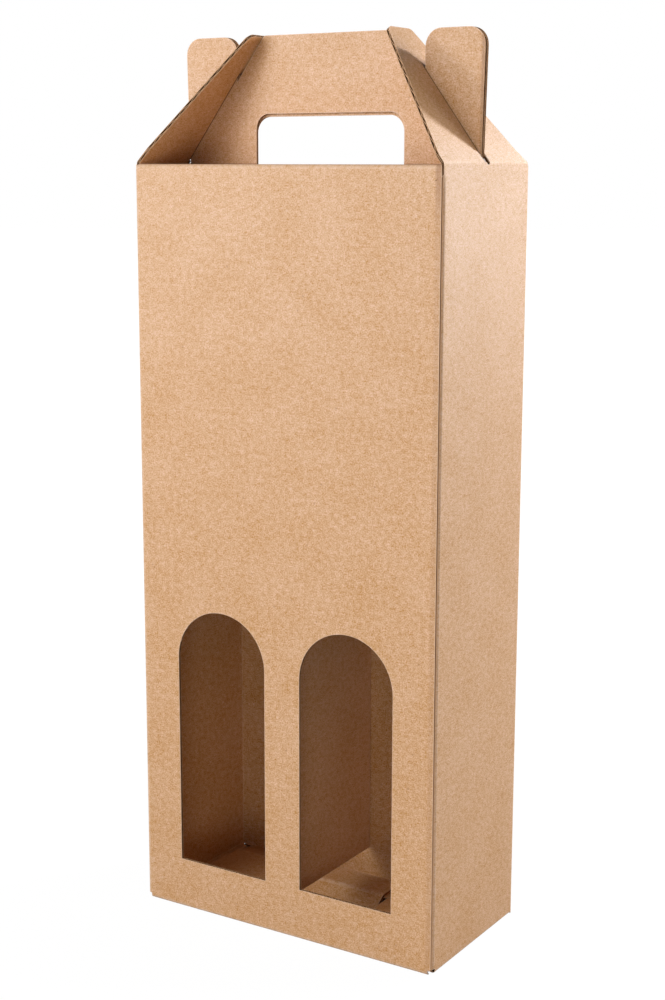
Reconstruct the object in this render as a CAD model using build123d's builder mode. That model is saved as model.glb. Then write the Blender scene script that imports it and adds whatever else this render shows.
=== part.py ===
from build123d import *
from math import cos, radians, sin, tan
import os

# Bottle shipping box: one sheet of corrugated board, folded and glued into a tall carton
# with arched windows, a locking base and a gabled carrying handle, and a divider inside.
# X runs along the front, Y from front to back and Z up. The origin is the centre of the base.
# All values are in millimetres and degrees.

# Board and its folds
BOARD = 1.5
FOLD_INSIDE = 0.4
FOLD_OUTSIDE = FOLD_INSIDE + BOARD
BEND_EASE = 0.6
LAYER_GAP = 0.15
EDGE_GAP = 0.3

# Body
WIDTH = 157.0
DEPTH = 79.2
HEIGHT = 350.0
SEAM_SETBACK = 0.4
GLUE_TAB = 16.0

# Arched windows in the front panel
WINDOW_WIDTH = 48.4
WINDOW_HEIGHT = 124.25
WINDOW_SILL = 24.2
WINDOW_STRIP = 18.9
WINDOW_SHIFT = -0.05

# Handle: two panels that stand back to back on the mid depth
HANDLE_RISE = 56.4
PLY_GAP = 0.2
EAR_WIDTH = 28.0
EAR_FLARE = 0.4
EAR_CORNER = 7.5
HANDLE_CORNER = 1.5
HOLE_WIDTH = 77.6
HOLE_RISE = 22.3
HOLE_CORNER = 7.0
REAR_HOLE_DROP = 1.3
REAR_HOLE_SHIFT = -1.1

# Side flaps that lean in over the handle
FLAP_ANGLE = 53.0
FLAP_LENGTH = 70.9
FLAP_CREASE_RISE = 0.7
FLAP_TOP_WIDTH = 19.8
FLAP_CORNER = 5.0
FLAP_SIDE_SETBACK = 1.7
FLAP_STRAIGHT = 4.0
FLAP_REST_GAP = 0.25
SLIT_TAIL_WIDTH = 1.7

# Corners: the posts stop just under the top, and the base folds start past a notch
POST_DROP = 0.2
NOTCH_HEIGHT = 2.4
NOTCH_FRONT = 2.0
NOTCH_SIDE = 3.9

# Locking base, with its distances measured from the mid depth
SHOULDER_REACH = 3.0
TONGUE_WIDTH = 48.0
TONGUE_REACH = 27.0
TONGUE_CORNER = 8.0
LOCK_EDGE = 12.0
LOCK_SIDE_GAP = 2.0
LOCK_RAMP = 7.5
HOOK_REACH = 6.0
HOOK_CORNER = 6.0
BACK_RAMP = 14.0
SIDE_RAMP = 4.0
SIDE_FLAP_LENGTH = 40.0
SIDE_FLAP_TIP = 8.0

# Divider
DIVIDER_LIFT = 16.4
DIVIDER_DROP = 20.0
DIVIDER_FLANGE = 26.0

# Places worked out from the sizes above
half_width = WIDTH / 2
half_depth = DEPTH / 2
tab_face = BOARD - half_depth
panel_half = half_width - BOARD - EDGE_GAP
fold_top = HEIGHT - FOLD_OUTSIDE
leg = NOTCH_HEIGHT + NOTCH_SIDE + FOLD_OUTSIDE
level = BOARD + LAYER_GAP
root = FOLD_OUTSIDE + NOTCH_FRONT
soft_bend = FOLD_OUTSIDE + BEND_EASE
side_ramp_end = half_width - root - SIDE_RAMP
back_ramp_end = half_depth - root - BACK_RAMP
base_half = side_ramp_end - BOARD
reach = WIDTH + DEPTH + HEIGHT

# Carton: flap plane, with its own X along the depth and its own Y up the slope
slope = radians(FLAP_ANGLE)
flap_plane = Plane(
    origin=(half_width, 0, HEIGHT + FLAP_CREASE_RISE),
    x_dir=(0, 1, 0),
    z_dir=(sin(slope), 0, cos(slope)),
)
ply_face = PLY_GAP / 2 + BOARD
handle_top = HEIGHT + HANDLE_RISE
ear_inner = panel_half - EAR_WIDTH


def flap_height(x, lift):
    """Height of the line that lies lift above the outside of the right side flap."""
    across = (half_width - x) * tan(slope)
    return HEIGHT + FLAP_CREASE_RISE + across + lift / cos(slope)


def flap_x(z, lift):
    """Where the line that lies lift above the outside of the right side flap is z high."""
    return half_width - (z - HEIGHT - FLAP_CREASE_RISE - lift / cos(slope)) / tan(slope)


def flap_run(x):
    """Distance up the slope at which the outside of the right side flap reaches x."""
    return (half_width - x) / cos(slope)


slit_start = flap_run(panel_half + LAYER_GAP)
slit_end = flap_run(ear_inner - EDGE_GAP)
slit_half = ply_face + LAYER_GAP
neck_half = half_width - slit_start * cos(slope) - BOARD * sin(slope) - EDGE_GAP

with BuildPart() as side_flap:
    with BuildSketch(Plane.XZ):
        with BuildLine():
            FilletPolyline(
                (half_width, HEIGHT - leg),
                (half_width, HEIGHT + FLAP_CREASE_RISE),
                (
                    half_width - FLAP_LENGTH * cos(slope),
                    HEIGHT + FLAP_CREASE_RISE + FLAP_LENGTH * sin(slope),
                ),
                radius=FOLD_OUTSIDE,
            )
            offset(amount=BOARD, side=Side.LEFT)
        make_face()
    extrude(amount=half_depth, both=True)
    with BuildSketch(flap_plane):
        with BuildLine():
            FilletPolyline(
                (0, -reach),
                (half_depth - FLAP_SIDE_SETBACK, -reach),
                (half_depth - FLAP_SIDE_SETBACK, FLAP_STRAIGHT),
                (FLAP_TOP_WIDTH / 2, FLAP_LENGTH),
                (0, FLAP_LENGTH),
                radius=[0, 0, FLAP_CORNER],
            )
            mirror(about=Plane.YZ)
        make_face()
    extrude(amount=reach, both=True, mode=Mode.INTERSECT)
    # Slit that the ears stand through, with a narrower tail down to the crease
    with BuildSketch(flap_plane):
        with Locations((0, (slit_start + slit_end) / 2)):
            Rectangle(2 * slit_half, slit_end - slit_start)
        with Locations((slit_half - SLIT_TAIL_WIDTH / 2, slit_start)):
            SlotOverall(2 * slit_start, SLIT_TAIL_WIDTH, rotation=90)
    extrude(amount=2 * BOARD, both=True, mode=Mode.SUBTRACT)


def top_fold(side):
    """Top panel and handle panel of the front (side -1) or the back (side 1)."""
    hole_top = HEIGHT + HOLE_RISE
    hole_x = 0.0
    if side > 0:
        hole_top -= REAR_HOLE_DROP
        hole_x += REAR_HOLE_SHIFT
    with BuildPart() as fold:
        with BuildSketch(Plane.YZ):
            with BuildLine():
                FilletPolyline(
                    (side * half_depth, HEIGHT - leg),
                    (side * half_depth, HEIGHT),
                    (side * ply_face, HEIGHT),
                    (side * ply_face, handle_top),
                    radius=[FOLD_OUTSIDE, FOLD_INSIDE],
                )
                offset(amount=BOARD, side=Side.RIGHT if side < 0 else Side.LEFT)
            make_face()
        extrude(amount=half_width, both=True)
        # Outline as seen from the front: panel, neck, ears and the edges under the side flaps
        with BuildSketch(Plane.XZ):
            with BuildLine():
                FilletPolyline(
                    (0, 0),
                    (panel_half, 0),
                    (panel_half, HEIGHT),
                    (neck_half, HEIGHT),
                    (neck_half, flap_height(neck_half, -BOARD)),
                    (panel_half, flap_height(panel_half, 0)),
                    (panel_half + EAR_FLARE, handle_top),
                    (ear_inner, handle_top),
                    (ear_inner, flap_height(ear_inner, -BOARD - FLAP_REST_GAP)),
                    (flap_x(handle_top, -BOARD - FLAP_REST_GAP), handle_top),
                    (0, handle_top),
                    radius=[0, 0, 0, 0, 0, EAR_CORNER, EAR_CORNER, 0, HANDLE_CORNER],
                )
                mirror(about=Plane.YZ)
            make_face()
            with Locations((hole_x, (HEIGHT + hole_top - HOLE_CORNER) / 2)):
                Rectangle(HOLE_WIDTH, hole_top - HOLE_CORNER - HEIGHT, mode=Mode.SUBTRACT)
            with Locations((hole_x, hole_top - HOLE_CORNER)):
                SlotOverall(HOLE_WIDTH, 2 * HOLE_CORNER, mode=Mode.SUBTRACT)
        extrude(amount=half_depth, both=True, mode=Mode.INTERSECT)
    return fold.part


def base_strip(plane, path, radii, board_side, outline):
    """Strip of board along a folded path, cut to an outline given in plan."""
    with BuildPart() as strip:
        with BuildSketch(plane):
            with BuildLine():
                FilletPolyline(*path, radius=radii)
                offset(amount=BOARD, side=board_side)
            make_face()
        extrude(amount=reach, both=True)
        with BuildSketch():
            with BuildLine():
                outline()
            make_face()
        extrude(amount=reach, both=True, mode=Mode.INTERSECT)
    return strip.part


def front_flap_outline():
    """Front flap of the base: shoulders up to the mid depth and a tongue past it."""
    FilletPolyline(
        (0, -half_depth),
        (half_width - NOTCH_FRONT, -half_depth),
        (half_width - NOTCH_FRONT, FOLD_OUTSIDE - half_depth),
        (base_half, NOTCH_SIDE - half_depth),
        (base_half, SHOULDER_REACH),
        (TONGUE_WIDTH / 2, SHOULDER_REACH),
        (TONGUE_WIDTH / 2, TONGUE_REACH),
        (0, TONGUE_REACH),
        radius=[0, 0, 0, HOOK_CORNER, 0, TONGUE_CORNER],
    )
    mirror(about=Plane.YZ)


def back_flap_outline():
    """Back flap of the base: two hooks either side of the cut-out that holds the tongue."""
    hook_inner = TONGUE_WIDTH / 2 + LOCK_SIDE_GAP
    FilletPolyline(
        (0, half_depth),
        (half_width - NOTCH_FRONT, half_depth),
        (half_width - NOTCH_FRONT, half_depth - FOLD_OUTSIDE),
        (base_half, half_depth - NOTCH_SIDE),
        (base_half, -HOOK_REACH),
        (hook_inner, -HOOK_REACH),
        (hook_inner, LOCK_EDGE),
        (0, LOCK_EDGE),
        radius=[0, 0, 0, HOOK_CORNER, HOOK_CORNER, 0],
    )
    mirror(about=Plane.YZ)


def side_base_outline():
    """Right side flap of the base, cut away at the back where the back flap slopes up."""
    FilletPolyline(
        (half_width, NOTCH_SIDE - half_depth),
        (half_width, half_depth - NOTCH_SIDE),
        (side_ramp_end, half_depth - NOTCH_SIDE - SIDE_RAMP),
        (side_ramp_end, back_ramp_end - EDGE_GAP),
        (half_width - SIDE_FLAP_LENGTH, SIDE_FLAP_TIP),
        (half_width - SIDE_FLAP_LENGTH, NOTCH_SIDE - half_depth + SIDE_RAMP),
        radius=[0, 0, 0, HOOK_CORNER, HOOK_CORNER, 0],
        close=True,
    )


front_base = base_strip(
    Plane.YZ,
    [
        (-half_depth, leg),
        (-half_depth, 0),
        (LOCK_EDGE - LOCK_RAMP - LAYER_GAP, 0),
        (LOCK_EDGE - LAYER_GAP, 3 * level),
        (DEPTH, 3 * level),
    ],
    [FOLD_OUTSIDE, soft_bend, soft_bend],
    Side.LEFT,
    front_flap_outline,
)
back_base = base_strip(
    Plane.YZ,
    [
        (half_depth, leg),
        (half_depth, 0),
        (half_depth - root, 0),
        (back_ramp_end, 2 * level),
        (-DEPTH, 2 * level),
    ],
    [FOLD_OUTSIDE, soft_bend, soft_bend],
    Side.RIGHT,
    back_flap_outline,
)
side_base = base_strip(
    Plane.XZ,
    [
        (half_width, leg),
        (half_width, 0),
        (half_width - root, 0),
        (side_ramp_end, level),
        (-WIDTH, level),
    ],
    [FOLD_OUTSIDE, soft_bend, soft_bend],
    Side.RIGHT,
    side_base_outline,
)


# Plan of the four walls, corner by corner from the front panel's raw edge round to the glue tab
corner_paths = [
    [(half_width - SEAM_SETBACK, -half_depth), (-half_width, -half_depth), (-half_width, 0)],
    [(-half_width, 0), (-half_width, half_depth), (0, half_depth)],
    [(0, half_depth), (half_width, half_depth), (half_width, 0)],
    [(half_width, 0), (half_width, tab_face), (half_width - GLUE_TAB, tab_face)],
]
with BuildSketch() as wall_plan:
    for path in corner_paths:
        with BuildLine():
            FilletPolyline(*path, radius=FOLD_OUTSIDE)
            offset(amount=BOARD, side=Side.RIGHT)
        make_face()

with BuildPart() as carton:
    with BuildSketch(Plane.XY.offset(NOTCH_HEIGHT)):
        add(wall_plan.sketch)
    extrude(amount=fold_top - NOTCH_HEIGHT)
    # Corner posts and the tops of the side panels
    with BuildSketch(Plane.XY.offset(fold_top)):
        add(wall_plan.sketch)
        Rectangle(2 * panel_half, 2 * DEPTH, mode=Mode.SUBTRACT)
    extrude(amount=HEIGHT - POST_DROP - fold_top)
    # Arched windows
    with BuildSketch(Plane.XZ.offset(half_depth)):
        for side in (-1, 1):
            middle = side * (WINDOW_STRIP + WINDOW_WIDTH) / 2 + WINDOW_SHIFT
            arch = WINDOW_SILL + WINDOW_HEIGHT - WINDOW_WIDTH / 2
            with Locations((middle, (WINDOW_SILL + arch) / 2)):
                Rectangle(WINDOW_WIDTH, arch - WINDOW_SILL)
            with Locations((middle, arch)):
                Circle(WINDOW_WIDTH / 2)
    extrude(amount=-2 * BOARD, mode=Mode.SUBTRACT)
    add(top_fold(-1))
    add(top_fold(1))
    add(side_flap.part)
    mirror(side_flap.part, about=Plane.YZ)
    add(front_base)
    add(back_base)
    add(side_base)
    mirror(side_base, about=Plane.YZ)

with BuildPart() as divider:
    with BuildSketch(Plane.XY.offset(DIVIDER_LIFT)):
        with BuildLine():
            FilletPolyline(
                (BOARD / 2, BOARD + EDGE_GAP - half_depth),
                (BOARD / 2, half_depth - BOARD),
                (BOARD / 2 - DIVIDER_FLANGE, half_depth - BOARD),
                radius=FOLD_OUTSIDE,
            )
            offset(amount=BOARD, side=Side.LEFT)
        make_face()
    extrude(amount=HEIGHT - DIVIDER_DROP - DIVIDER_LIFT)

os.makedirs("parts", exist_ok=True)
carton.part.label = "carton"
export_step(carton.part, "parts/carton.step")
divider.part.label = "divider"
export_step(divider.part, "parts/divider.step")
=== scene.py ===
"""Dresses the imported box: one die-cut sheet of fluted kraft board, folded up, and its divider."""

from math import atan2, cos, pi, radians, sin, tan

import bmesh
import bpy
from bpy.props import FloatProperty, FloatVectorProperty, PointerProperty
from mathutils import Matrix, Vector, kdtree


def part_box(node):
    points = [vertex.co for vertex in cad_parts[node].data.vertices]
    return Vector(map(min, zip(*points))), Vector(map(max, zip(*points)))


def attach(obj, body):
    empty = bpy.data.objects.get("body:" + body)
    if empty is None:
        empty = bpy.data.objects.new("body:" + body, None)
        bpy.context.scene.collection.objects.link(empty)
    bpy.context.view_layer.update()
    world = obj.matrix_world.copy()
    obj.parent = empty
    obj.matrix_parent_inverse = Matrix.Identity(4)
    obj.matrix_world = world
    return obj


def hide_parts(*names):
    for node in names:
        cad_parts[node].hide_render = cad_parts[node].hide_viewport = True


bl_info = {
    "name": "Bottle Shipping Box",
    "version": (1, 0, 0),
    "blender": (4, 5, 0),
    "location": "View3D > Sidebar > Box",
    "description": "Folded kraft carton with a divider, arched windows and a carrying handle",
    "category": "Object",
}

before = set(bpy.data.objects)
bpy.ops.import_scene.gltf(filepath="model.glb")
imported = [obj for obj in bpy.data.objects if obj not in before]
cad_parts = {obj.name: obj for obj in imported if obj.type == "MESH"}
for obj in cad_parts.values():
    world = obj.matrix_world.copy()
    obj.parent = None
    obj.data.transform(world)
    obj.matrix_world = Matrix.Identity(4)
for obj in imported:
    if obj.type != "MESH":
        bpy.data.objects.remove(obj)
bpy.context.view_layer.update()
carton_low, carton_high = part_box("carton")
divider_low, divider_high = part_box("divider")

MM = 0.001

# Clearances of the folded board, in millimetres
LAYER_GAP = 0.15
EDGE_GAP = 0.3
PLY_GAP = 0.1
TAB_GAP = 0.05
SEAM_GAP = 0.35
FLAP_RISE = 0.7
POST_DROP = 0.2

# The glue tab
TAB_WIDTH = 16
TAB_CHAMFER = 12
TAB_CORNER = 3
TAB_TOP = 4
TAB_FOOT = 4.5

# The cuts at the body's bottom corners: their height, and how far they reach along the walls
NOTCH_HEIGHT = 2.4
NOTCH_WIDE = 2
NOTCH_DEEP = 3.9
BACK_NOTCH_HEIGHT = 0.15
BACK_NOTCH_DEEP = 1.8

# The locking base: the front flap's tongue, the back flap's cut-out and the side flaps' hooks
BASE_TRIM = 8.65
BASE_CORNER = 6
SOFT_FOLD = 0.6
TONGUE_RISE = (4.35, 11.85)
TONGUE_HALF = 24
TONGUE_SHOULDER = 3
TONGUE_END = 27
TONGUE_CORNER = 8
BACK_RISE = 14
CUTOUT_HALF = 26
CUTOUT_SHOULDER = 6
CUTOUT_END = -12
SIDE_RISE = 4
SIDE_REACH = 40
SIDE_STUB = 8.1
HOOK = (8, 21.8)

# The handle panels and their ears
HANDLE_PLAY = 0.15
SLOPE_PLAY = 0.7
NECK_INSET = 1.25
EAR_FOOT_INSET = 1.0
EAR_FLARE = 0.3
EAR_CORNER = 7.5
HANDLE_CORNER = 1.5
HOLE_CORNER = 7

# The slits that the ears pass through: the wider tail starts beside the fold
SLIT_PLAY = 0.45
SLIT_TAIL = 2.9
SLIT_FOOT = 0.6
SLIT_CORNER = 0.3
SLIT_TAIL_CORNER = 1.3

# How near its corner folds a wall stays upright where its flaps already bend, at its top and its foot
POST_TOP_REACH = 1.8
POST_FOOT_REACH = 1.75

# Heights between which the right wall leans in to meet its side flap beside the seam
EASE_FROM = 340
EASE_TO = 348
EASE_REACH = 4

# The windows: the pair's shift to one side, and what keeps the two halves of an arch apart while it is cut
WINDOW_SHIFT = 0.05
ARCH_GAP = 0.002

# Size of the cells that the sheet is cut into, and the band of painted highlight beside every cut edge
CELL = 9
RIM_WIDTH = 0.4

# How far in from a raw edge the fluting is made, and where its wave starts
FLUTED_BAND = 6.0
WAVE_START = 1.7

# How strongly painted shade darkens the handle's valley folds and the band beside the slits: the second also
# takes the dark core colour
VALLEY_SHADE = 1.6
SLIT_SHADE = 2.0

# Material slots of the papers
OUTSIDE, INSIDE, CUT, CORE = range(4)

# Name, place, diameter, the power that it takes its share of, and the share
LAMPS = (
    ("key_lamp", (0.439, 0.744, 0.717), 0.15, "key", 1),
    ("back_lamp", (0.90, 1.10, 0.30), 0.80, "side", 1),
    ("sheen_lamp", (0.55, 0.95, 0.35), 0.30, "side", 0.3),
    ("side_lamp", (0.75, 0.55, 0.50), 0.40, "side", 0.5),
    ("fill_lamp", (-0.90, 0.80, 0.60), 0.60, "side", 0.35),
    ("front_lamp", (-0.30, -1.20, 1.00), 0.70, "front", 1),
    ("high_lamp", (-0.75, -1.25, 0.90), 0.50, "front", 0.92),
    ("left_lamp", (-0.90, -1.20, 0.50), 0.70, "front", 0.27),
    ("glow_lamp", (-0.70, -0.95, 0.28), 0.25, "front", 0.17),
    ("near_lamp", (-0.60, -0.55, 0.45), 0.20, "front", 0.2),
    ("low_lamp", (-0.50, -1.00, 0.12), 0.30, "front", 0.13),
    ("right_lamp", (0.45, -0.85, 0.15), 0.30, "front", 0.27),
)
LAMP_TARGET = (0.03, 0, 0.30)

# The part of the floor that the box covers: the middle's shift, and half its width and depth
COVER_SHIFT = (0.0045, -0.004, 0)
COVER_HALF = (0.0725, 0.034)
COVER_SOFT = 0.001

CAMERA_LENS = 61.61
CAMERA_PLACE = (0.41439, -0.65231, 0.34920)
CAMERA_TURN = (32.315, 90 - 11.035, 0.134)


def length(name, description, default):
    """A size in metres."""
    return FloatProperty(name=name, description=description, default=default, unit="LENGTH", precision=5)


def power(name, description, default):
    """A lamp's power in watts."""
    return FloatProperty(name=name, description=description, default=default, unit="POWER")


def colour(name, description, default):
    """A colour, written as it looks on the board."""
    linear = [((c / 255 + 0.055) / 1.055) ** 2.4 for c in default]
    return FloatVectorProperty(
        name=name, description=description, default=linear, subtype="COLOR", size=3, min=0, max=1
    )


class BoxSizes(bpy.types.PropertyGroup):
    """Sizes of the folded box"""

    width: length("Width", "Outside width of the body along its front", carton_high.x - carton_low.x)
    depth: length("Depth", "Outside depth of the body", carton_high.y - carton_low.y)
    height: length("Height", "Height of the body up to its top panels", 0.350)
    board: length("Board", "Thickness of the fluted board", 0.0015)
    liner: length("Liner", "Thickness of each paper of the board", 0.00025)
    flute: length("Flute", "Distance from one flute to the next", 0.00327)
    fold: length("Fold", "Outside radius of a fold", 0.0016)
    window_width: length("Window width", "Width of each arched window", 0.0484)
    window_height: length("Window height", "Height of each window to the top of its arch", 0.12425)
    window_sill: length("Window sill", "Height of the windows' lower edge", 0.0242)
    window_strip: length("Window strip", "Board left between the two windows", 0.0189)
    handle_rise: length("Handle rise", "Height of the handle above the body", 0.0564)
    ear: length("Ear", "Width of each ear of the handle panels", 0.0280)
    hole_width: length("Hand hole width", "Width of the hand hole", 0.0774)
    hole_rise: length("Hand hole rise", "Height of the hand hole above the body", 0.0223)
    flap_length: length("Side flap length", "Length of the side flaps up their slope", 0.0709)
    flap_top: length("Side flap top", "Width of the side flaps at their upper end", 0.0198)
    flap_angle: FloatProperty(
        name="Side flap angle",
        description="Slope of the side flaps from the level",
        default=radians(53.0),
        subtype="ANGLE",
    )
    divider_flange: length("Divider flange", "Width of the divider's glued flange", 0.026)


class BoxFinish(bpy.types.PropertyGroup):
    """Colours and finish of the board"""

    outside: colour("Outside", "Kraft paper on the outside of the box", (203, 158, 116))
    inside: colour("Inside", "Kraft paper on the inside of the box", (198, 150, 102))
    fibre: colour("Fibre", "Pale fibres in the paper", (224, 194, 168))
    speck: colour("Speck", "Dark specks in the paper", (147, 98, 57))
    grain: colour("Grain", "How far the mottled grain moves the paper's colour", (126, 127, 131))
    edge: colour("Cut edge", "Freshly cut edges of the papers", (198, 158, 122))
    # The core colour is painted shade: the fluting and the backs of the papers are kraft like the rest,
    # darkened for the shade inside the board.
    core: colour("Core", "Fluting and the backs of the papers, inside the board", (67, 43, 26))
    roughness: FloatProperty(
        name="Roughness", description="Roughness of the paper", default=0.42, min=0, max=1, subtype="FACTOR"
    )


class BoxStudio(bpy.types.PropertyGroup):
    """Light and floor"""

    key: power("Key", "Power of the small lamp high behind the box", 7.9)
    side: power("Side", "Power of the lamps behind the box", 3.6)
    front: power("Front", "Power of the soft lamps in front", 5.6)
    sky: FloatProperty(name="Sky", description="Strength of the light from all round", default=0.28)
    floor: colour("Floor", "Colour of the floor", (170, 170, 170))


def ramp(value, low, high):
    """0 up to low, 1 from high and a straight rise between them."""
    return min(1, max(0, (value - low) / (high - low)))


class Section:
    """A line of straight runs and round folds, read by the distance along it."""

    def __init__(self, points, radii, start=0.0):
        points = [Vector(point) for point in points]
        self.runs = []
        self.folds = []
        here = points[0]
        at = start
        for i in range(1, len(points)):
            course = points[i] - points[i - 1]
            heading = atan2(course.y, course.x)
            turn = 0.0
            radius = 0.0
            if i < len(points) - 1:
                leaving = points[i + 1] - points[i]
                turn = (atan2(leaving.y, leaving.x) - heading + pi) % (2 * pi) - pi
                radius = radii[i - 1]
            setback = radius * tan(abs(turn) / 2)
            end = points[i] - course.normalized() * setback
            run = (end - here).length
            self.runs.append((at, run, here, heading, 0.0))
            at += run
            if turn:
                run = radius * abs(turn)
                self.runs.append((at, run, end, heading, turn / run))
                self.folds.append((at, at + run, abs(turn)))
                at += run
                here = points[i] + leaving.normalized() * setback

    def at(self, distance):
        """Point and heading at a distance."""
        run = self.runs[0]
        for each in self.runs:
            if each[0] <= distance:
                run = each
        start, _, here, heading, bend = run
        along = distance - start
        if bend:
            end = heading + bend * along
            return here + Vector((sin(end) - sin(heading), cos(heading) - cos(end))) / bend, end
        return here + along * Vector((cos(heading), sin(heading))), heading

    def reach(self, value, axis=0):
        """Distance at which the line comes to a value on one axis."""
        for start, run, *_ in self.runs:
            low, high = start, start + run
            first, last = self.at(low + 1e-6)[0][axis], self.at(high - 1e-6)[0][axis]
            if abs(last - first) < 1e-3 or not min(first, last) - 2e-3 <= value <= max(first, last) + 2e-3:
                continue
            for _ in range(40):
                middle = (low + high) / 2
                if (self.at(middle)[0][axis] < value) == (first < last):
                    low = middle
                else:
                    high = middle
            return (low + high) / 2
        raise ValueError(f"the section doesn't come to {value}")

    def rows(self, low, high, ease=0.45):
        """Distances at which the sheet is cut across so that its folds come out round."""
        found = []
        for start, end, turn in self.folds:
            count = max(2, round(turn / radians(15)))
            found.append(start - ease)
            found += [start + (end - start) * i / count for i in range(count + 1)]
            found.append(end + ease)
        return [place for place in found if low < place < high]


class Panel:
    """One wall of the box with the flaps above and below it."""

    def __init__(self, middle, origin, along, inward, top, base):
        self.middle = middle
        self.origin = Vector(origin)
        self.along = Vector(along)
        self.inward = Vector(inward)
        self.top = top
        self.base = base

    def fold(self, section, side, across, distance, depth):
        """Place of a point of a flap that is folded along a section."""
        spot, heading = section.at(distance)
        inner = Vector((sin(heading), -cos(heading))) * side
        spot = spot + inner * depth
        return self.origin + self.along * across + self.inward * spot.x + Vector((0, 0, spot.y))


class Blank:
    """The flat die-cut sheet: its outline, holes and folds, in millimetres."""

    def __init__(self, sizes):
        self.sizes = sizes
        self.slope = sizes.flap_angle
        self.board = self.mm("board")
        self.fold = self.mm("fold")
        self.height = self.mm("height")
        self.depth = self.mm("depth")
        self.half_width = self.mm("width") / 2
        self.half_depth = self.depth / 2
        self.wide = self.half_width - self.fold
        self.deep = self.half_depth - self.fold
        self.post_top = self.height - POST_DROP
        self.ply = self.board + PLY_GAP
        self.ear_inner = self.half_width - self.board - EDGE_GAP - self.mm("ear")
        self.handle_top = self.height + self.mm("handle_rise")
        self.make_panels()
        self.outlines = [self.rim(), *self.windows(), *self.hand_holes(), *self.slits()]

    def mm(self, name):
        """One of the box's sizes in millimetres."""
        return getattr(self.sizes, name) / MM

    def make_panels(self):
        """Sections of the folds round the body, over its top and under its base, and the panels between."""
        fold, height = self.fold, self.height
        half_width, half_depth = self.half_width, self.half_depth
        tab_face = self.board + TAB_GAP - half_depth
        self.plan = Section(
            [
                (half_width - SEAM_GAP, -half_depth),
                (-half_width, -half_depth),
                (-half_width, half_depth),
                (half_width, half_depth),
                (half_width, tab_face),
                (half_width - TAB_WIDTH, tab_face),
            ],
            [fold] * 4,
        )
        self.end = self.plan.runs[-1][0] + self.plan.runs[-1][1]

        leg = NOTCH_HEIGHT + NOTCH_DEEP + fold
        middle = half_depth - self.ply
        self.handle = Section(
            [(0, leg), (0, height), (middle, height), (middle, self.handle_top + 9)],
            [fold, fold - self.board],
            start=leg,
        )
        run = 2 * self.mm("flap_length")
        crest = height + FLAP_RISE
        tip = (run * cos(self.slope), crest + run * sin(self.slope))
        self.flap = Section([(0, leg), (0, crest), tip], [fold], start=leg)
        self.crease = self.flap.folds[0][1] - fold * tan((pi / 2 - self.slope) / 2)

        def base_flap(rise_start, rise_end, layers):
            """A base flap that turns in and rises over the layers under it."""
            level = layers * (self.board + LAYER_GAP)
            soft = fold + SOFT_FOLD
            points = [(0, leg), (0, 0), (rise_start, 0), (rise_end, level), (2 * self.depth, level)]
            return Section(points, [fold, soft, soft], start=-leg)

        root = fold + NOTCH_WIDE
        front_base = base_flap(half_depth + TONGUE_RISE[0], half_depth + TONGUE_RISE[1], 3)
        back_base = base_flap(root, root + BACK_RISE, 2)
        side_base = base_flap(root, root + SIDE_RISE, 1)
        sides = (
            ((0, -half_depth, 0), (-1, 0, 0), (0, 1, 0), self.handle, front_base),
            ((-half_width, 0, 0), (0, 1, 0), (1, 0, 0), self.flap, side_base),
            ((0, half_depth, 0), (1, 0, 0), (0, -1, 0), self.handle, back_base),
            ((half_width, 0, 0), (0, -1, 0), (-1, 0, 0), self.flap, side_base),
        )
        walls = [run for run in self.plan.runs if run[4] == 0]
        self.panels = []
        for (start, _, here, _, _), (origin, along, inward, top, base) in zip(walls, sides):
            middle = start - here.dot(Vector(along).xy)
            self.panels.append(Panel(middle, origin, along, inward, top, base))
        self.front, self.left, self.back, self.right = self.panels

    def under(self, x, lift):
        """Height of the side flap over a place across the front, on its outside or lifted off it."""
        rise = (self.half_width - x) * tan(self.slope)
        return self.height + FLAP_RISE + rise + lift / cos(self.slope)

    def under_x(self, z, lift):
        """Place across the front at which the side flap comes to a height."""
        rise = z - self.height - FLAP_RISE - lift / cos(self.slope)
        return self.half_width - rise / tan(self.slope)

    def up(self, z):
        """Distance up the sheet at which a handle panel comes to a height."""
        if z > self.height + self.fold:
            return self.handle.reach(z, 1)
        return self.handle.folds[1][0]

    def handle_half(self):
        """Half the outline of a top panel with its handle panel and ear."""
        wide, up, under = self.wide, self.up, self.under
        foot_line = self.handle.folds[1][0]
        fold_top = self.height - self.fold
        top = up(self.handle_top)
        neck = wide - NECK_INSET
        ear_foot = wide - EAR_FOOT_INSET
        lift = -self.board - SLOPE_PLAY
        return [
            (wide + HANDLE_PLAY, self.post_top, 0),
            (wide + HANDLE_PLAY, fold_top, 0),
            (wide, fold_top, 0),
            (wide, foot_line, 0),
            (neck, foot_line, 0),
            (neck, up(under(neck, -self.board)), 0),
            (ear_foot, up(under(ear_foot, 0)), 0),
            (wide + EAR_FLARE, top, EAR_CORNER),
            (self.ear_inner, top, EAR_CORNER),
            (self.ear_inner, up(under(self.ear_inner, lift)), 0),
            (self.under_x(self.handle_top, lift), top, HANDLE_CORNER),
        ]

    def flap_outline(self, corners, lean, waist, trim=0.0):
        """Outline of a side flap: its tip leans, and its waist draws in the edge beside the seam."""
        deep, crease = self.deep, self.crease
        half = self.mm("flap_top") / 2
        tip = crease + self.mm("flap_length") - trim
        return [
            (-deep, self.post_top, 0),
            (-deep, crease + 1, 0),
            (waist - deep, crease + 8, 0),
            (lean - half, tip, corners[0]),
            (lean + half, tip, corners[1]),
            (deep, crease + 4, 0),
            (deep, self.post_top, 0),
        ]

    def base_outlines(self):
        """Half the outlines of the front and back base flaps, and the whole of a side one."""

        def at(panel, distance):
            return -panel.base.reach(distance)

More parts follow.
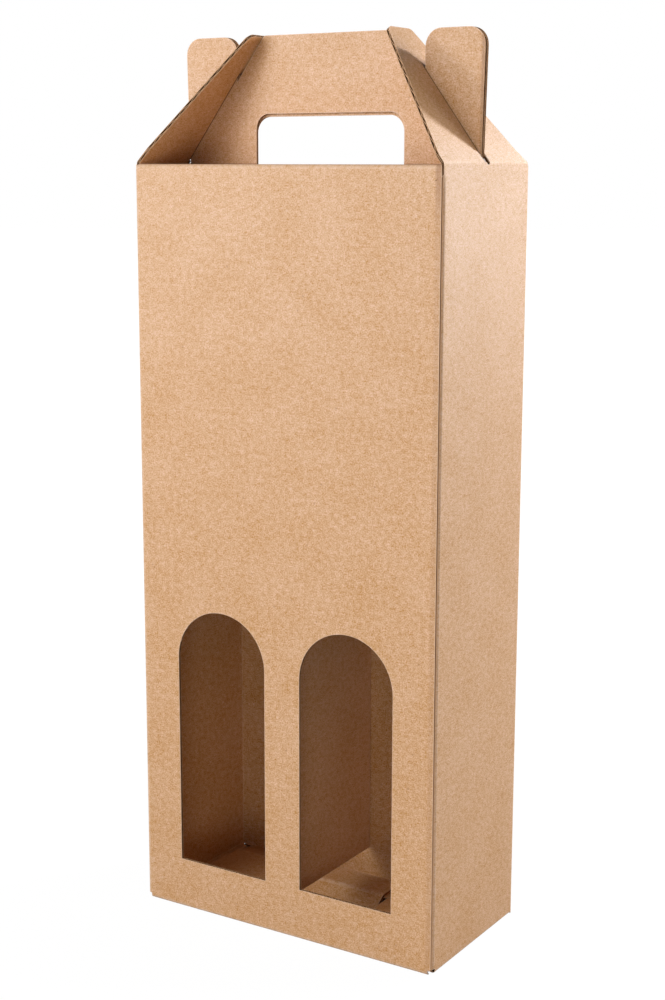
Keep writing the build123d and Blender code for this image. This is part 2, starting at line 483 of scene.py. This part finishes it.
        front, back, side = self.front, self.back, self.right
        root = self.half_width - NOTCH_WIDE
        edge = self.half_width - BASE_TRIM
        half_depth, fold = self.half_depth, self.fold
        front_half = [
            (root, NOTCH_HEIGHT, 0),
            (root, at(front, fold), 0),
            (edge, at(front, NOTCH_DEEP), 0),
            (edge, at(front, half_depth + TONGUE_SHOULDER), BASE_CORNER),
            (TONGUE_HALF, at(front, half_depth + TONGUE_SHOULDER), 0),
            (TONGUE_HALF, at(front, half_depth + TONGUE_END), TONGUE_CORNER),
        ]
        back_half = [
            (root, BACK_NOTCH_HEIGHT, 0),
            (root, at(back, fold), 0),
            (edge, at(back, NOTCH_DEEP), 0),
            (edge, at(back, half_depth + CUTOUT_SHOULDER), BASE_CORNER),
            (CUTOUT_HALF, at(back, half_depth + CUTOUT_SHOULDER), BASE_CORNER),
            (CUTOUT_HALF, at(back, half_depth + CUTOUT_END), 0),
        ]
        notch, back_notch = half_depth - NOTCH_DEEP, half_depth - BACK_NOTCH_DEEP
        side_flap = [
            (-notch, NOTCH_HEIGHT, 0),
            (-notch, at(side, fold), 0),
            (-notch + SIDE_RISE, at(side, SIDE_REACH), 0),
            (HOOK[0], at(side, SIDE_REACH), BASE_CORNER),
            (HOOK[1], at(side, SIDE_STUB), BASE_CORNER),
            (notch - SIDE_RISE, at(side, SIDE_STUB), 0),
            (back_notch, at(side, fold), 0),
            (back_notch, BACK_NOTCH_HEIGHT, 0),
        ]
        return front_half, back_half, side_flap

    def rim(self):
        """The outline of the whole sheet: along its top, down the glue tab and back along its base."""
        handle_half = self.handle_half()
        front_half, back_half, side_flap = self.base_outlines()
        rim = [(0, NOTCH_HEIGHT, 0), (0, self.post_top, 0)]
        rim += across(self.front, handle_half, -1) + across(self.front, handle_half[::-1])
        rim += across(self.left, self.flap_outline((5, 5), 0, 1.7, 0.9))
        rim += across(self.back, handle_half, -1) + across(self.back, handle_half[::-1])
        rim += across(self.right, self.flap_outline((3, 4.5), 1.6, 4.2))
        tab = self.right.middle + self.deep
        rim.append((tab, self.height - TAB_TOP, 0))
        rim.append((self.end, self.height - TAB_CHAMFER, TAB_CORNER))
        rim.append((self.end, TAB_CHAMFER, TAB_CORNER))
        rim += [(tab, TAB_FOOT, 0), (tab, NOTCH_HEIGHT, 0)]
        rim += across(self.right, side_flap, -1)
        rim += across(self.back, back_half) + across(self.back, back_half[::-1], -1)
        rim += across(self.left, side_flap[::-1])
        rim += across(self.front, front_half) + across(self.front, front_half[::-1], -1)
        return rim

    def windows(self):
        """The two arched windows of the front panel."""
        pane = self.mm("window_width")
        sill = self.mm("window_sill")
        head = sill + self.mm("window_height")
        arch = pane / 2 - ARCH_GAP
        for sign in (-1, 1):
            centre = self.front.middle + sign * (self.mm("window_strip") + pane) / 2 + WINDOW_SHIFT
            left, right = centre - pane / 2, centre + pane / 2
            yield [(left, sill, 0), (left, head, arch), (right, head, arch), (right, sill, 0)]

    def hand_holes(self):
        """The hand holes of the two handle panels: the back one is a little lower and to one side."""
        foot_line = self.handle.folds[1][0]
        half = self.mm("hole_width") / 2
        for panel, shift, drop in ((self.front, -0.2, 0), (self.back, -0.9, 1.3)):
            head = self.up(self.height + self.mm("hole_rise") - drop)
            left, right = panel.middle + shift - half, panel.middle + shift + half
            top = [(left, head, HOLE_CORNER), (right, head, HOLE_CORNER)]
            yield [(left, foot_line, 0), *top, (right, foot_line, 0)]

    def slits(self):
        """The slits of the side flaps, wider at the crease, and the band beside them that takes painted
        shade where the ears pass through.
        """
        low = (self.half_width - (self.wide + PLY_GAP + LAYER_GAP)) / cos(self.slope) + self.crease
        high = (self.half_width - (self.ear_inner - EDGE_GAP)) / cos(self.slope) + self.crease
        half = self.ply + SLIT_PLAY
        tail = half - SLIT_TAIL
        foot = self.crease - SLIT_FOOT
        self.slit_shade_band = (half + 0.5, low - 2, high + 0.5)
        for panel, sign in ((self.left, 1), (self.right, -1)):
            points = [
                (-half, high, SLIT_CORNER),
                (-half, low, SLIT_CORNER),
                (tail, low, 0),
                (tail, foot, SLIT_TAIL_CORNER),
                (half, foot, SLIT_TAIL_CORNER),
                (half, high, SLIT_CORNER),
            ]
            yield across(panel, points, sign)

    def half(self, panel):
        """Half the width of a panel."""
        return self.half_width if panel in (self.front, self.back) else self.half_depth

    def panel_at(self, u):
        """Panel that a place along the sheet belongs to."""
        for panel, fold in zip(self.panels, self.plan.folds):
            if u < (fold[0] + fold[1]) / 2:
                return panel
        return self.right

    def place(self, u, v, depth):
        """Folds a point of the flat sheet to its place in the box."""
        panel = self.panel_at(u)
        aside = u - panel.middle
        half = self.half(panel)
        post = abs(aside) > half - POST_TOP_REACH and v < self.post_top + 0.01
        if v > panel.top.folds[0][0] and not post:
            return panel.fold(panel.top, 1, aside, v, depth)
        if v < -panel.base.folds[0][0] and not (abs(aside) > half - POST_FOOT_REACH and v > 0):
            return panel.fold(panel.base, -1, aside, -v, depth)
        spot, heading = self.plan.at(u)
        spot = spot + depth * Vector((sin(heading), -cos(heading)))
        wall = Vector((spot.x, spot.y, v))
        if panel is self.right and aside > self.half_depth - EASE_REACH and v > EASE_FROM:
            ease = ramp(v, EASE_FROM, EASE_TO)
            ease = ease * ease * (3 - 2 * ease)
            return wall.lerp(panel.fold(panel.top, 1, aside, v, depth), ease)
        return wall


def across(panel, points, sign=1):
    """Moves a panel's points to its place along the sheet, mirrored where the sign is -1."""
    return [(panel.middle + sign * a, v, radius) for a, v, radius in points]


def cut_outlines(outlines):
    """Flat sheet with rounded corners and holes."""
    bm = bmesh.new()
    for outline in outlines:
        corners = [bm.verts.new((u, v, 0)) for u, v, _ in outline]
        bm.faces.new(corners)
        count = len(corners)
        for i, (u, v, radius) in enumerate(outline):
            if not radius:
                continue
            before = Vector(outline[i - 1][:2]) - Vector((u, v))
            after = Vector(outline[(i + 1) % count][:2]) - Vector((u, v))
            turn = pi - before.angle(after)
            bmesh.ops.bevel(
                bm,
                geom=[corners[i]],
                offset=radius * tan(turn / 2),
                offset_type="OFFSET",
                segments=max(3, round(turn * (radius**0.5) * 2.6)),
                profile=0.5,
                affect="VERTICES",
                clamp_overlap=False,
                material=-1,
            )
    bmesh.ops.delete(bm, geom=bm.faces[:], context="FACES_ONLY")
    bmesh.ops.remove_doubles(bm, verts=bm.verts[:], dist=0.01)
    bmesh.ops.triangle_fill(bm, edges=bm.edges[:], use_beauty=True, use_dissolve=False, normal=(0, 0, 1))
    return bm


def highlight_rim(bm, width):
    """Sets off a narrow band along every cut edge, which the paper paints paler as a painted highlight."""
    bmesh.ops.inset_region(bm, faces=bm.faces[:], thickness=width, use_boundary=True, use_even_offset=True)
    layer = bm.verts.layers.float.new("rim")
    for vert in bm.verts:
        vert[layer] = 1.0 if vert.is_boundary else 0.0


def around(faces):
    """Faces with their edges and corners, as the cutting operators want them."""
    edges = dict.fromkeys(edge for face in faces for edge in face.edges)
    corners = dict.fromkeys(corner for face in faces for corner in face.verts)
    return [*faces, *edges, *corners]


def cut_across(bm, axis, places, faces=None):
    """Cuts a sheet along straight lines, halving the work at each one."""
    if faces is None:
        faces = bm.faces[:]
    if not places or not faces:
        return
    middle = len(places) // 2
    place = places[middle]
    normal = Vector((0, 0, 0))
    normal[axis] = 1
    cut = bmesh.ops.bisect_plane(bm, geom=around(faces), dist=1e-5, plane_co=normal * place, plane_no=normal)
    faces = [item for item in cut["geom"] if isinstance(item, bmesh.types.BMFace)]
    low = [face for face in faces if face.calc_center_median()[axis] < place]
    high = [face for face in faces if face.calc_center_median()[axis] >= place]
    cut_across(bm, axis, places[:middle], low)
    cut_across(bm, axis, places[middle + 1 :], high)


def cut_columns(bm, size, span=24.0):
    """Cuts a sheet into narrow columns, one stretch of it at a time because that is quicker."""
    low = min(vert.co.x for vert in bm.verts)
    high = max(vert.co.x for vert in bm.verts)
    places = steps(low, high, size)
    joined = bmesh.new()
    holder = bpy.data.meshes.new("stretch")
    borders = [low - 1] + places[:: round(span / size)][1:] + [high + 1]
    cut_across(bm, 0, borders[1:-1])
    for start, end in zip(borders, borders[1:]):
        stretch = bm.copy()
        beyond = [face for face in stretch.faces if not start < face.calc_center_median().x < end]
        bmesh.ops.delete(stretch, geom=beyond, context="FACES")
        cut_across(stretch, 0, [place for place in places if start < place < end])
        stretch.to_mesh(holder)
        stretch.free()
        joined.from_mesh(holder)
    bm.free()
    bpy.data.meshes.remove(holder)
    bmesh.ops.remove_doubles(joined, verts=joined.verts[:], dist=1e-4)
    return joined


def steps(low, high, size):
    """Evenly spaced places between two values."""
    count = max(1, round((high - low) / size))
    return [low + (high - low) * i / count for i in range(1, count)]


def thicken(bm, low, high):
    """Turns a flat sheet into a closed slab between two depths."""
    bmesh.ops.translate(bm, verts=bm.verts[:], vec=(0, 0, low))
    made = bmesh.ops.extrude_face_region(bm, geom=bm.faces[:], use_keep_orig=True)
    raised = [item for item in made["geom"] if isinstance(item, bmesh.types.BMVert)]
    bmesh.ops.translate(bm, verts=raised, vec=(0, 0, high - low))
    bmesh.ops.recalc_face_normals(bm, faces=bm.faces[:])


def raw_edge_tree(bm):
    """Points along the cut edges of a flat sheet, to measure distances from."""
    spots = []
    for edge in bm.edges:
        if len(edge.link_faces) != 1:
            continue
        start, end = edge.verts[0].co, edge.verts[1].co
        count = max(1, int((end - start).length))
        spots += [start.lerp(end, (i + 0.5) / count) for i in range(count)]
    tree = kdtree.KDTree(len(spots))
    for i, spot in enumerate(spots):
        tree.insert(spot, i)
    tree.balance()
    return tree


def make_sheet(outlines, lines):
    """Flat sheet, cut across wherever it will bend and into cells."""
    bm = cut_outlines(outlines)
    highlight_rim(bm, RIM_WIDTH)
    for axis, places, low, high in lines:
        faces = None
        if low is not None:
            faces = [face for face in bm.faces if low < face.calc_center_median().x < high]
        cut_across(bm, axis, sorted(places), faces)
    return bm


def add_map(bm):
    """Keeps the flat place of every corner as the piece's UV map, in metres."""
    layer = bm.loops.layers.uv.new("board")
    for face in bm.faces:
        for loop in face.loops:
            loop[layer].uv = loop.vert.co.xy * MM


def paint_marks(bm, name, amount):
    """Keeps how strongly every corner carries each mark for the paper to show: the creases' painted
    highlight, painted shade with the seam's darker band, painted light, and painted shade between the
    handle's plies.
    """
    layer = bm.verts.layers.float.new(name)
    for vert in bm.verts:
        vert[layer] = amount(*vert.co)


def finish_piece(bm, name, node, place, materials):
    """Folds a flat piece up and adds it to the scene."""
    for vert in bm.verts:
        vert.co = place(*vert.co) * MM
    for face in bm.faces:
        face.smooth = True
    mesh = bpy.data.meshes.new(name)
    bm.to_mesh(mesh)
    bm.free()
    mesh.set_sharp_from_angle(angle=radians(38))
    for material in materials:
        mesh.materials.append(material)
    piece = bpy.data.objects.new(name, mesh)
    bpy.context.collection.objects.link(piece)
    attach(piece, "root")
    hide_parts(node)


def papers(flat, board, liner):
    """The two papers of the board as one mesh: outside, inside, cut edges and hidden backs."""
    bm = bmesh.new()
    for low, high in ((0, liner), (board - liner, board)):
        sheet = flat.copy()
        thicken(sheet, low, high)
        add_map(sheet)
        for face in sheet.faces:
            # The backs of the papers, which face the fluting, take the dark core colour: painted shade.
            face.material_index = CUT if abs(face.normal.z) < 0.5 else CORE
            if face.normal.z < -0.5 and low == 0:
                face.material_index = OUTSIDE
            if face.normal.z > 0.5 and high == board:
                face.material_index = INSIDE
        holder = bpy.data.meshes.new("paper")
        sheet.to_mesh(holder)
        sheet.free()
        bm.from_mesh(holder)
        bpy.data.meshes.remove(holder)
    return bm


def fluting(flat, board, liner, pitch, bent):
    """The waved paper between the two outer ones, kept where a raw edge shows it."""
    bm = flat.copy()
    tree = raw_edge_tree(bm)
    hidden = []
    for face in bm.faces:
        middle = face.calc_center_median()
        near = min(tree.find(spot)[2] for spot in [middle] + [vert.co for vert in face.verts])
        if near > FLUTED_BAND or bent(*middle):
            hidden.append(face)
    bmesh.ops.delete(bm, geom=hidden, context="FACES")
    bm = cut_columns(bm, pitch / 8)
    swing = (board - 3 * liner) / 2 - 0.01
    for vert in bm.verts:
        vert.co.z = board / 2 - liner / 2 + swing * sin(2 * pi * vert.co.x / pitch + WAVE_START)
    thicken(bm, 0, liner)
    add_map(bm)
    for face in bm.faces:
        # The flatter parts of the wave take the dark core colour, painted shade; its steep walls take the
        # cut edge colour.
        face.material_index = (CUT if abs(face.normal.z) < 0.86 else CORE) - CUT
    return bm


class Value:
    """A value in a material. Sums and products of values add its Math nodes."""

    def __init__(self, nodes, socket):
        self.nodes = nodes
        self.socket = socket

    def math(self, operation, *others, clamp=False):
        """One Math node on this value and the others."""
        inputs = dict(enumerate((self, *others)))
        return self.nodes.add("ShaderNodeMath", {"operation": operation, "use_clamp": clamp}, inputs)

    def __add__(self, other):
        return self.math("ADD", other)

    __radd__ = __add__

    def __mul__(self, other):
        return self.math("MULTIPLY", other)

    __rmul__ = __mul__

    def __sub__(self, other):
        return self.math("SUBTRACT", other)

    def __rsub__(self, other):
        return (self * -1) + other

    def band(self, low, high):
        """0 below low, 1 above high and a smooth rise between them."""
        limits = {"Value": self, "From Min": low, "From Max": high}
        return self.nodes.add("ShaderNodeMapRange", {"interpolation_type": "SMOOTHSTEP"}, limits)


class Nodes:
    """Adds nodes to a material or to the world."""

    def __init__(self, owner):
        owner.use_nodes = True
        self.tree = owner.node_tree

    def add(self, kind, settings=None, values=None, output=0):
        """Adds a node with its settings and its sockets' values or links, and gives one output."""
        node = self.tree.nodes.new(kind)
        for key, value in (settings or {}).items():
            setattr(node, key, value)
        for key, value in (values or {}).items():
            if isinstance(value, Value):
                self.tree.links.new(value.socket, node.inputs[key])
            else:
                node.inputs[key].default_value = value
        return Value(self, node.outputs[output])

    def surface(self, share, first, second):
        """Mixes two shaders and makes the result what the owner shows."""
        mixed = self.add("ShaderNodeMixShader", None, {0: share, 1: first, 2: second})
        shown = next(node for node in self.tree.nodes if node.type.startswith("OUTPUT"))
        self.tree.links.new(mixed.socket, shown.inputs["Surface"])


class Paint(Nodes):
    """Builds one material."""

    def __init__(self, name, roughness):
        self.material = bpy.data.materials.new(name)
        super().__init__(self.material)
        self.shader = self.tree.nodes["Principled BSDF"]
        self.shader.inputs["Roughness"].default_value = roughness

    def link(self, value, socket):
        self.tree.links.new(value.socket, self.shader.inputs[socket])

    def mix(self, factor, first, second, blend="MIX"):
        """Blends two colours."""
        settings = {"data_type": "RGBA", "blend_type": blend, "clamp_factor": blend == "MIX"}
        pair = [value if isinstance(value, Value) else (*value, 1) for value in (first, second)]
        return self.add("ShaderNodeMix", settings, {0: factor, 6: pair[0], 7: pair[1]}, output=2)

    def board_spot(self):
        """Place on the flat sheet in millimetres, so that a pattern runs on over the folds."""
        flat = self.add("ShaderNodeUVMap", {"uv_map": "board"})
        return self.add("ShaderNodeVectorMath", {"operation": "SCALE"}, {0: flat, "Scale": 1 / MM})

    def mark(self, name):
        """How strongly the piece carries a mark here."""
        return self.add("ShaderNodeAttribute", {"attribute_name": name}, None, output=2)

    def turned(self, spot, angle, stretch, shift=0.0):
        """A spot on the paper turned, stretched and shifted, to lay a pattern in one direction."""
        place = (shift, shift * 0.7, shift)
        values = {"Vector": spot, "Rotation": (0, 0, angle), "Scale": stretch, "Location": place}
        return self.add("ShaderNodeMapping", None, values)

    def noise(self, spot, scale, detail=2.0, rough=0.5):
        """Soft irregular patches."""
        values = {"Vector": spot, "Scale": scale, "Detail": detail, "Roughness": rough}
        return self.add("ShaderNodeTexNoise", {"noise_dimensions": "3D"}, values)

    def cells(self, spot, scale, output=0):
        """Scattered cells: the distance from a cell's middle, or its own colour from output 1."""
        values = {"Vector": spot, "Scale": scale, "Randomness": 1.0}
        return self.add("ShaderNodeTexVoronoi", {"feature": "F1"}, values, output)

    def fibres(self, spot):
        """Thin strands that lie in four directions."""
        total = None
        for i, angle in enumerate((0.5, -0.65, 1.75, 2.6)):
            lay = self.turned(spot, angle, (0.28, 1.9, 1), 11.0 * i)
            strand = self.noise(lay, 1.0, 1.0, 0.5).band(0.60, 0.78)
            total = strand if total is None else total + strand
        return total


def kraft(name, base, finish, shift, pitch):
    """Kraft paper: cloudy mottling, fine grain, pale fibres, dark specks, and painted highlights on the
    creases and cut edges, with painted shade beside slits and folds.
    """
    paint = Paint(name, finish.roughness)
    spot = paint.turned(paint.board_spot(), 0.0, (1, 1, 1), shift)
    clouds = paint.noise(spot, 0.045, 3.0, 0.55) - 0.5
    mottle = paint.noise(spot, 0.42, 3.0, 0.62) - 0.5
    grain = paint.noise(spot, 1.5, 2.0, 0.75) - 0.5
    fibres = paint.fibres(spot)
    fleck_cell = paint.add("ShaderNodeSeparateColor", None, {"Color": paint.cells(spot, 0.16, output=1)})
    fleck = (1 - paint.cells(spot, 0.16).band(0.05, 0.13)) * fleck_cell.band(0.55, 0.7)
    dot = 1 - paint.cells(spot, 0.11).band(0.03, 0.07)
    body = paint.mix(clouds * 0.6 + mottle * 1.5 + grain * 3.4, base, finish.grain, "ADD")
    body = paint.mix((fibres * 0.22).math("ADD", 0.0, clamp=True), body, finish.fibre)
    body = paint.mix(fleck * 0.5, body, finish.fibre)
    body = paint.mix(dot * 0.4, body, finish.speck)

    patchy = paint.noise(spot, 0.5, 3.0, 0.7).band(0.35, 0.65)
    # The creases are painted paler: a painted highlight.
    creased = paint.mark("crease")
    body = paint.mix(creased * (patchy * 0.4 + 0.12), body, finish.fibre)
    paint.link(creased * 0.2 + finish.roughness, "Roughness")
    # Painted highlight along every cut edge.
    body = paint.mix(paint.mark("rim") * (patchy * 0.3 + 0.6), body, finish.fibre)
    # Painted shade beside the slits and in the handle's valley folds, darkest beside the slits; a darker
    # band along the seam, stronger near its top.
    crushed = paint.mark("crushed")
    body = paint.mix(crushed * (patchy * 0.2 + 0.5), body, finish.speck)
    body = paint.mix(crushed.band(VALLEY_SHADE, SLIT_SHADE) * 0.7, body, finish.core)
    paint.link(body, "Base Color")

    along = paint.add("ShaderNodeSeparateXYZ", None, {0: spot})
    ripple = (along * (2 * pi / pitch)).math("SINE") * 0.006
    height = ripple + mottle * 0.03 + fibres * 0.02
    bump = paint.add("ShaderNodeBump", None, {"Strength": 0.5, "Distance": 0.001, "Height": height})
    paint.link(bump, "Normal")
    return paint.material


def raw_paper(name, base, finish):
    """Rough paper that shows its fibres: cut edges, fluting and the backs of the two papers; in the dark
    core colour it is painted shade inside the board.
    """
    paint = Paint(name, 0.9)
    paint.shader.inputs["Specular IOR Level"].default_value = 0
    fuzz = paint.noise(paint.board_spot(), 1.3, 3.0, 0.65).band(0.3, 0.7)
    body = paint.mix(fuzz * 0.35, base, finish.speck)
    # Painted light on the cut edges at the seam and on the cut end at its foot.
    body = paint.mix(paint.mark("worn"), body, finish.edge)
    # Painted shade on the cut edges of the inner papers between the handle's plies.
    paint.link(paint.mix(paint.mark("sunk") * 0.85, body, finish.core), "Base Color")
    return paint.material


def board_materials(scene):
    """Outside, inside, cut edges and core of the board, made once; the core's dark colour is painted shade.
    """
    names = ("kraft_outside", "kraft_inside", "cut_edge", "board_core")
    if all(name in bpy.data.materials for name in names):
        return [bpy.data.materials[name] for name in names]
    finish = scene.bottle_box_finish
    pitch = scene.bottle_box.flute / MM
    return [
        kraft("kraft_outside", finish.outside, finish, 0.0, pitch),
        kraft("kraft_inside", finish.inside, finish, 700.0, pitch),
        raw_paper("cut_edge", finish.edge, finish),
        raw_paper("board_core", finish.core, finish),
    ]


def within(folds, distance, margin=0.01):
    """Whether a distance along a section lies on one of its folds."""
    return any(fold[0] - margin < distance < fold[1] + margin for fold in folds)


def build_board(scene, name, flat, place, bent, marks, turn_over=False):
    """Makes a piece of the flat sheet: its papers with their marks, and its fluting."""
    sizes = scene.bottle_box
    board, liner, pitch = sizes.board / MM, sizes.liner / MM, sizes.flute / MM
    materials = board_materials(scene)
    outer = papers(flat, board, liner)
    for mark, amount in marks.items():
        paint_marks(outer, mark, amount)
    inner = fluting(flat, board, liner, pitch, bent)
    if "worn" in marks:
        paint_marks(inner, "worn", marks["worn"])
    if turn_over:
        for bm in (outer, inner):
            bmesh.ops.reverse_faces(bm, faces=bm.faces[:])
    finish_piece(outer, f"{name}_papers", name, place, materials)
    finish_piece(inner, f"{name}_fluting", name, place, materials[CUT:])
    flat.free()


class BOX_OT_carton(bpy.types.Operator):
    """Cuts the flat blank of the carton and folds it up"""

    bl_idname = "bottle_box.carton"
    bl_label = "Fold Carton"

    def execute(self, context):
        sizes = context.scene.bottle_box
        blank = Blank(sizes)
        notch_end = blank.right.middle + blank.half_depth - NOTCH_DEEP
        shade_half, shade_low, shade_high = blank.slit_shade_band

        def darken(u, v, depth):
            """Painted shade beside the slits and in the handle's valley folds, and a darker band along the
            seam, stronger near its top.
            """
            panel = blank.panel_at(u)
            if panel in (blank.left, blank.right) and abs(u - panel.middle) < shade_half:
                return SLIT_SHADE if shade_low < v < shade_high else 0.0
            beside = 1 - ramp(u, 2.2, 3.1)
            if u < 0.1:
                beside *= 0.15
            amount = beside * (0.3 + 0.7 * ramp(v, 325, 345))
            if within(panel.top.folds[1:], v, 0.2):
                amount = max(amount, VALLEY_SHADE)
            return amount

        def lighten(u, v, depth):
            """Painted light on the cut end at the seam's foot, which lies in shade, and on the cut edges
            along the seam, less towards its top.
            """
            if abs(u - notch_end) < 0.5 and v < 6:
                return 1.0
            return 0.2 + 0.6 * max(0, 1 - v / 120) if u < 7 and v < 349 else 0.0

        def shade_plies(u, v, depth):
            """Painted shade on the inner papers of the upright handle panels, which lie back to back."""
            panel = blank.panel_at(u)
            upright = panel in (blank.front, blank.back) and v > panel.top.folds[1][1]
            return 1.0 if upright and depth * MM > sizes.board / 2 else 0.0

        def bend(u, v, depth):
            """On the folds."""
            panel = blank.panel_at(u)
            if within(panel.top.folds, v) or within(panel.base.folds, -v):
                return 1.0
            return 1.0 if within(blank.plan.folds, u) and NOTCH_HEIGHT <= v < blank.post_top + 0.01 else 0.0

        flat = make_sheet(blank.outlines, self.lines(blank))
        marks = {"crease": bend, "crushed": darken, "sunk": shade_plies, "worn": lighten}
        build_board(context.scene, "carton", flat, blank.place, bend, marks)
        return {"FINISHED"}

    def lines(self, blank):
        """Lines that the sheet is cut along, so that it folds round and its marks stay sharp."""
        lines = [(0, blank.plan.rows(0, blank.end), None, None)]
        for panel in blank.panels:
            reach = 1.2 + blank.half(panel)
            rows = panel.top.rows(-900, 900) + [-row for row in panel.base.rows(-900, 900)]
            lines.append((1, rows, panel.middle - reach, panel.middle + reach))
        lines.append((0, [0.8, 2.1, 3.2] + steps(0, blank.end, CELL), None, None))
        for panel in (blank.left, blank.right):
            beside = blank.slit_shade_band[0] + 0.25
            columns = [panel.middle - beside, panel.middle + beside]
            lines.append((0, columns, panel.middle - 12, panel.middle + 12))
        lines.append((1, steps(-70, 450, CELL), None, None))
        return lines


class BOX_OT_divider(bpy.types.Operator):
    """Cuts and folds the divider that parts the box into two compartments"""

    bl_idname = "bottle_box.divider"
    bl_label = "Fold Divider"

    def execute(self, context):
        sizes = context.scene.bottle_box
        low, high = divider_low / MM, divider_high / MM
        flange_end = high.x - sizes.divider_flange / MM
        plan = Section([(high.x, low.y), (high.x, high.y), (flange_end, high.y)], [sizes.fold / MM])
        end = plan.reach(flange_end)
        outline = [(0, low.z, 1), (0, high.z, 1), (end, high.z, 2), (end, low.z, 2)]
        lines = [(0, plan.rows(0, end), None, None), (0, steps(0, end, CELL), None, None)]
        lines.append((1, steps(low.z, high.z, CELL), None, None))

        def place(u, v, depth):
            spot, heading = plan.at(u)
            spot = spot + depth * Vector((-sin(heading), cos(heading)))
            return Vector((spot.x, spot.y, v))

        def bend(u, v, depth):
            return 1.0 if within(plan.folds, u) else 0.0

        flat = make_sheet([outline], lines)
        build_board(context.scene, "divider", flat, place, bend, {"crease": bend}, turn_over=True)
        return {"FINISHED"}


class BOX_OT_studio(bpy.types.Operator):
    """Sets out the floor, the lamps, the camera and the plain background"""

    bl_idname = "bottle_box.studio"
    bl_label = "Set Up Studio"

    def execute(self, context):
        studio = context.scene.bottle_box_studio
        self.floor(studio)
        for name, spot, size, source, share in LAMPS:
            self.lamp(name, spot, size, getattr(studio, source) * share)
        self.background(context, studio)
        self.camera(context)
        return {"FINISHED"}

    def floor(self, studio):
        """A wide floor that keeps the box's shadow for the light and shows white to the camera."""
        bm = bmesh.new()
        bmesh.ops.create_circle(bm, cap_ends=True, segments=64, radius=9)
        mesh = bpy.data.meshes.new("floor")
        bm.to_mesh(mesh)
        bm.free()
        floor = bpy.data.objects.new("floor", mesh)
        bpy.context.collection.objects.link(floor)
        paint = Paint("floor", 0.9)
        paint.shader.inputs["Base Color"].default_value = (*studio.floor, 1)
        glow = paint.add("ShaderNodeEmission", None, {"Strength": 1.06})
        seen = paint.add("ShaderNodeLightPath")
        where = paint.add("ShaderNodeTexCoord", None, None, output=3)
        away = paint.add("ShaderNodeVectorMath", {"operation": "LENGTH"}, {0: where}, output=1)
        under = paint.add("ShaderNodeVectorMath", {"operation": "ADD"}, {0: where, 1: COVER_SHIFT})
        part = paint.add("ShaderNodeVectorMath", {"operation": "ABSOLUTE"}, {0: under})

        def inside(axis):
            beside = paint.add("ShaderNodeSeparateXYZ", None, {0: part}, output=axis)
            return 1 - beside.band(COVER_HALF[axis], COVER_HALF[axis] + COVER_SOFT)

        covered = inside(0) * inside(1)
        glow_share = seen * (away.band(0.1, 0.7) * 0.08 + 0.92) * (1 - covered)
        paint.surface(glow_share, Value(paint, paint.shader.outputs[0]), glow)
        mesh.materials.append(paint.material)

    def lamp(self, name, spot, size, power):
        """A round soft lamp that faces the box."""
        light = bpy.data.lights.new(name, "AREA")
        light.shape = "DISK"
        light.size = size
        light.energy = power
        lamp = bpy.data.objects.new(name, light)
        lamp.location = spot
        lamp.rotation_euler = (Vector(LAMP_TARGET) - lamp.location).to_track_quat("-Z", "Y").to_euler()
        bpy.context.collection.objects.link(lamp)

    def background(self, context, studio):
        """Dim even light from all round, and plain white behind the box."""
        world = bpy.data.worlds.new("studio")
        context.scene.world = world
        nodes = Nodes(world)
        light = nodes.tree.nodes["Background"]
        light.inputs["Color"].default_value = (1, 1, 1, 1)
        light.inputs["Strength"].default_value = studio.sky
        plain = nodes.add("ShaderNodeBackground", None, {"Color": (1, 1, 1, 1)})
        camera_ray = nodes.add("ShaderNodeLightPath")
        passing = Value(nodes, camera_ray.socket.node.outputs["Is Transmission Ray"])
        nodes.surface(camera_ray.math("MAXIMUM", passing), Value(nodes, light.outputs[0]), plain)
        context.scene.view_settings.view_transform = "Standard"

    def camera(self, context):
        """The photo's camera: its place, then its turn, its tilt and its slight roll in degrees."""
        data = bpy.data.cameras.new("camera")
        data.sensor_fit = "VERTICAL"
        data.sensor_height = 36
        data.lens = CAMERA_LENS
        camera = bpy.data.objects.new("camera", data)
        place = Matrix.Translation(CAMERA_PLACE)
        for angle, axis in zip(CAMERA_TURN, "ZXZ"):
            place = place @ Matrix.Rotation(radians(angle), 4, axis)
        camera.matrix_world = place
        context.collection.objects.link(camera)
        context.scene.camera = camera


class BOX_PT_panel(bpy.types.Panel):
    """Lists what the box is made of"""

    bl_label = "Bottle Shipping Box"
    bl_space_type = "VIEW_3D"
    bl_region_type = "UI"
    bl_category = "Box"

    def draw(self, context):
        for operator in (BOX_OT_carton, BOX_OT_divider, BOX_OT_studio):
            self.layout.operator(operator.bl_idname)
        for group in ("bottle_box", "bottle_box_finish", "bottle_box_studio"):
            owner = getattr(context.scene, group)
            for name in owner.__annotations__:
                self.layout.prop(owner, name)


CLASSES = (BoxSizes, BoxFinish, BoxStudio, BOX_OT_carton, BOX_OT_divider, BOX_OT_studio, BOX_PT_panel)


def register():
    for each in CLASSES:
        bpy.utils.register_class(each)
    bpy.types.Scene.bottle_box = PointerProperty(type=BoxSizes)
    bpy.types.Scene.bottle_box_finish = PointerProperty(type=BoxFinish)
    bpy.types.Scene.bottle_box_studio = PointerProperty(type=BoxStudio)


def unregister():
    del bpy.types.Scene.bottle_box_studio
    del bpy.types.Scene.bottle_box_finish
    del bpy.types.Scene.bottle_box
    for each in reversed(CLASSES):
        bpy.utils.unregister_class(each)


def main():
    register()
    bpy.ops.bottle_box.studio()
    bpy.ops.bottle_box.carton()
    bpy.ops.bottle_box.divider()


if __name__ == "__main__":
    main()
